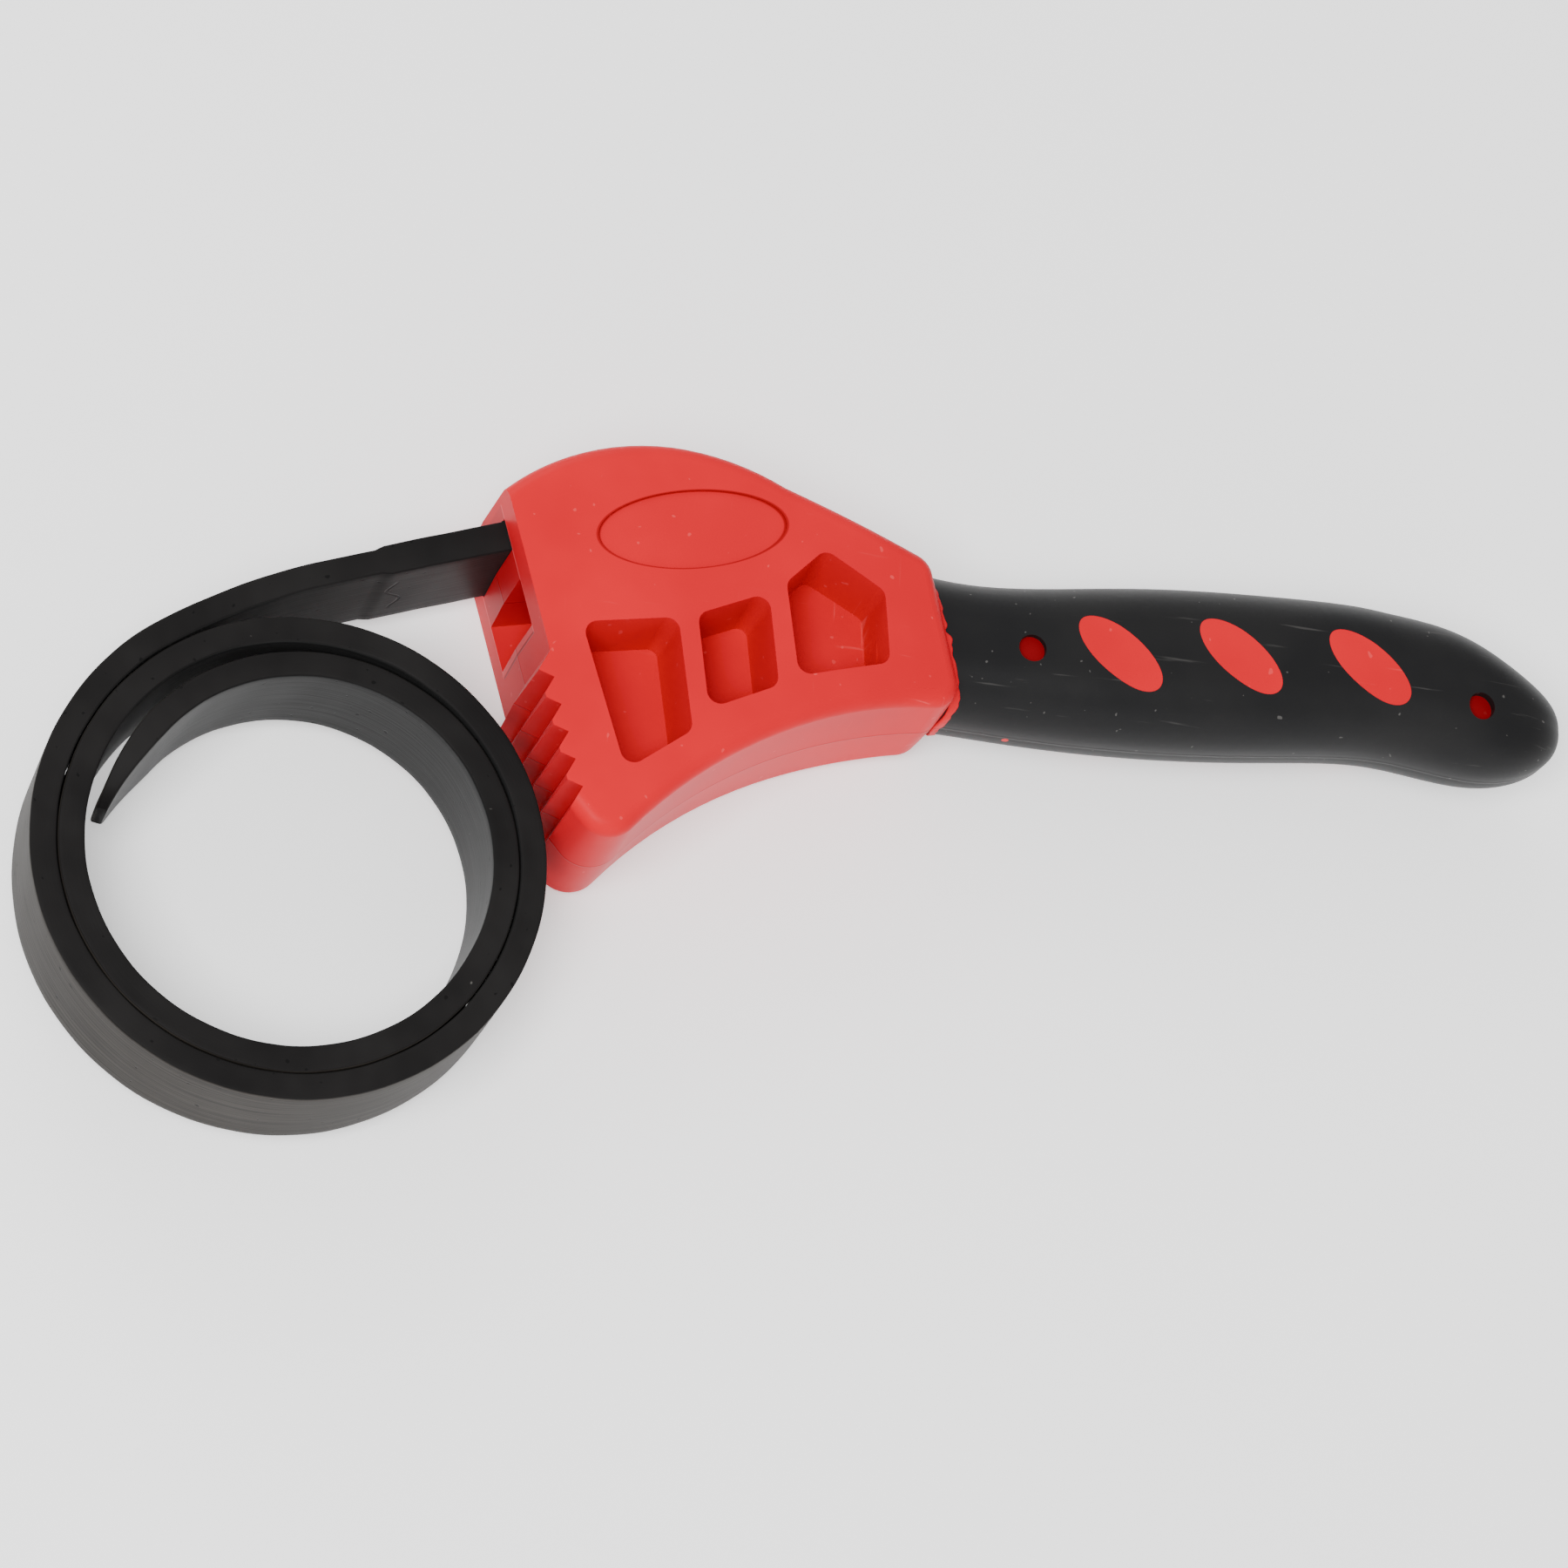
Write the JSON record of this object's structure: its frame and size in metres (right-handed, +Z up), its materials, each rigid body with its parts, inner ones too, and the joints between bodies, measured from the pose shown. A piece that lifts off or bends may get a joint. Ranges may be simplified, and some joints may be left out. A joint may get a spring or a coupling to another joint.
{
  "type": "strap oil filter wrench",
  "caption": "Strap wrench for oil filters: moulded head with teeth and pockets, handle core in an overmoulded soft grip, and a coiled rubber strap that bends.",
  "frame": {"origin": "on the flat side that the tool lies on, in the middle of the head", "axes": "+Z up out of the flat side; +X along the handle towards its end; the strap is coiled at -X"},
  "size_m": [0.3078, 0.1383, 0.039],
  "materials": {
    "head_plastic": "satin",
    "grip_rubber": "satin",
    "strap_rubber": "matte"
  },
  "bodies": {
    "head": {"body_core": "head_plastic", "grip": "grip_rubber", "strap_end": "strap_rubber"},
    "lead": {"strap_lead_1": "strap_rubber", "strap_lead_2": "strap_rubber"},
    "bend_1": {"strap_bend_1": "strap_rubber"},
    "bend_2": {"strap_bend_2": "strap_rubber"},
    "bend_3": {"strap_bend_3": "strap_rubber"},
    "coil": {"strap_turn_1": "strap_rubber", "strap_turn_2": "strap_rubber", "strap_turn_3": "strap_rubber", "strap_turn_4": "strap_rubber", "strap_turn_5": "strap_rubber", "strap_turn_6": "strap_rubber"},
    "tail_1": {"strap_tail_1": "strap_rubber"},
    "tail_2": {"strap_tail_2": "strap_rubber"},
    "tail_3": {"strap_tail_3": "strap_rubber"},
    "tail_4": {"strap_tail_4": "strap_rubber"},
    "tail_5": {"strap_tail_5": "strap_rubber"},
    "tail_6": {"strap_tail_6": "strap_rubber"}
  },
  "joints": [
    {"name": "strap_swing", "type": "hinge", "parent": "head", "child": "lead", "pos_m": [-0.04274, 0.01246, 0.0195], "axis": [0, 0, -1], "range_deg": [0, 20], "stiffness_Nm_per_rad": 0.05},
    {"name": "bend_1_opens", "type": "hinge", "parent": "lead", "child": "bend_1", "pos_m": [-0.07458, 0.00053, 0.0195], "axis": [0, 0, -1], "range_deg": [0, 10], "stiffness_Nm_per_rad": 0.04},
    {"name": "bend_2_opens", "type": "hinge", "parent": "bend_1", "child": "bend_2", "pos_m": [-0.10653, -0.01607, 0.0195], "axis": [0, 0, -1], "range_deg": [0, 12], "stiffness_Nm_per_rad": 0.04},
    {"name": "bend_3_opens", "type": "hinge", "parent": "bend_2", "child": "bend_3", "pos_m": [-0.12257, -0.03445, 0.0195], "axis": [0, 0, -1], "range_deg": [0, 12], "stiffness_Nm_per_rad": 0.04},
    {"name": "coil_opens", "type": "hinge", "parent": "bend_3", "child": "coil", "pos_m": [-0.12835, -0.05815, 0.0195], "axis": [0, 0, -1], "range_deg": [0, 12], "stiffness_Nm_per_rad": 0.04},
    {"name": "tail_1_curls_in", "type": "hinge", "parent": "coil", "child": "tail_1", "pos_m": [-0.04105, -0.05876, 0.0195], "axis": [0, 0, 1], "range_deg": [0, 8], "stiffness_Nm_per_rad": 0.02},
    {"name": "tail_2_curls_in", "type": "hinge", "parent": "tail_1", "child": "tail_2", "pos_m": [-0.0457, -0.0414, 0.0195], "axis": [0, 0, 1], "range_deg": [0, 8], "stiffness_Nm_per_rad": 0.02},
    {"name": "tail_3_curls_in", "type": "hinge", "parent": "tail_2", "child": "tail_3", "pos_m": [-0.0584, -0.0287, 0.0195], "axis": [0, 0, 1], "range_deg": [0, 8], "stiffness_Nm_per_rad": 0.02},
    {"name": "tail_4_curls_in", "type": "hinge", "parent": "tail_3", "child": "tail_4", "pos_m": [-0.07575, -0.02405, 0.0195], "axis": [0, 0, 1], "range_deg": [0, 8], "stiffness_Nm_per_rad": 0.02},
    {"name": "tail_5_curls_in", "type": "hinge", "parent": "tail_4", "child": "tail_5", "pos_m": [-0.09146, -0.02778, 0.0195], "axis": [0, 0, 1], "range_deg": [0, 8], "stiffness_Nm_per_rad": 0.02},
    {"name": "tail_6_curls_in", "type": "hinge", "parent": "tail_5", "child": "tail_6", "pos_m": [-0.10382, -0.03815, 0.0195], "axis": [0, 0, 1], "range_deg": [0, 8], "stiffness_Nm_per_rad": 0.02}
  ]
}
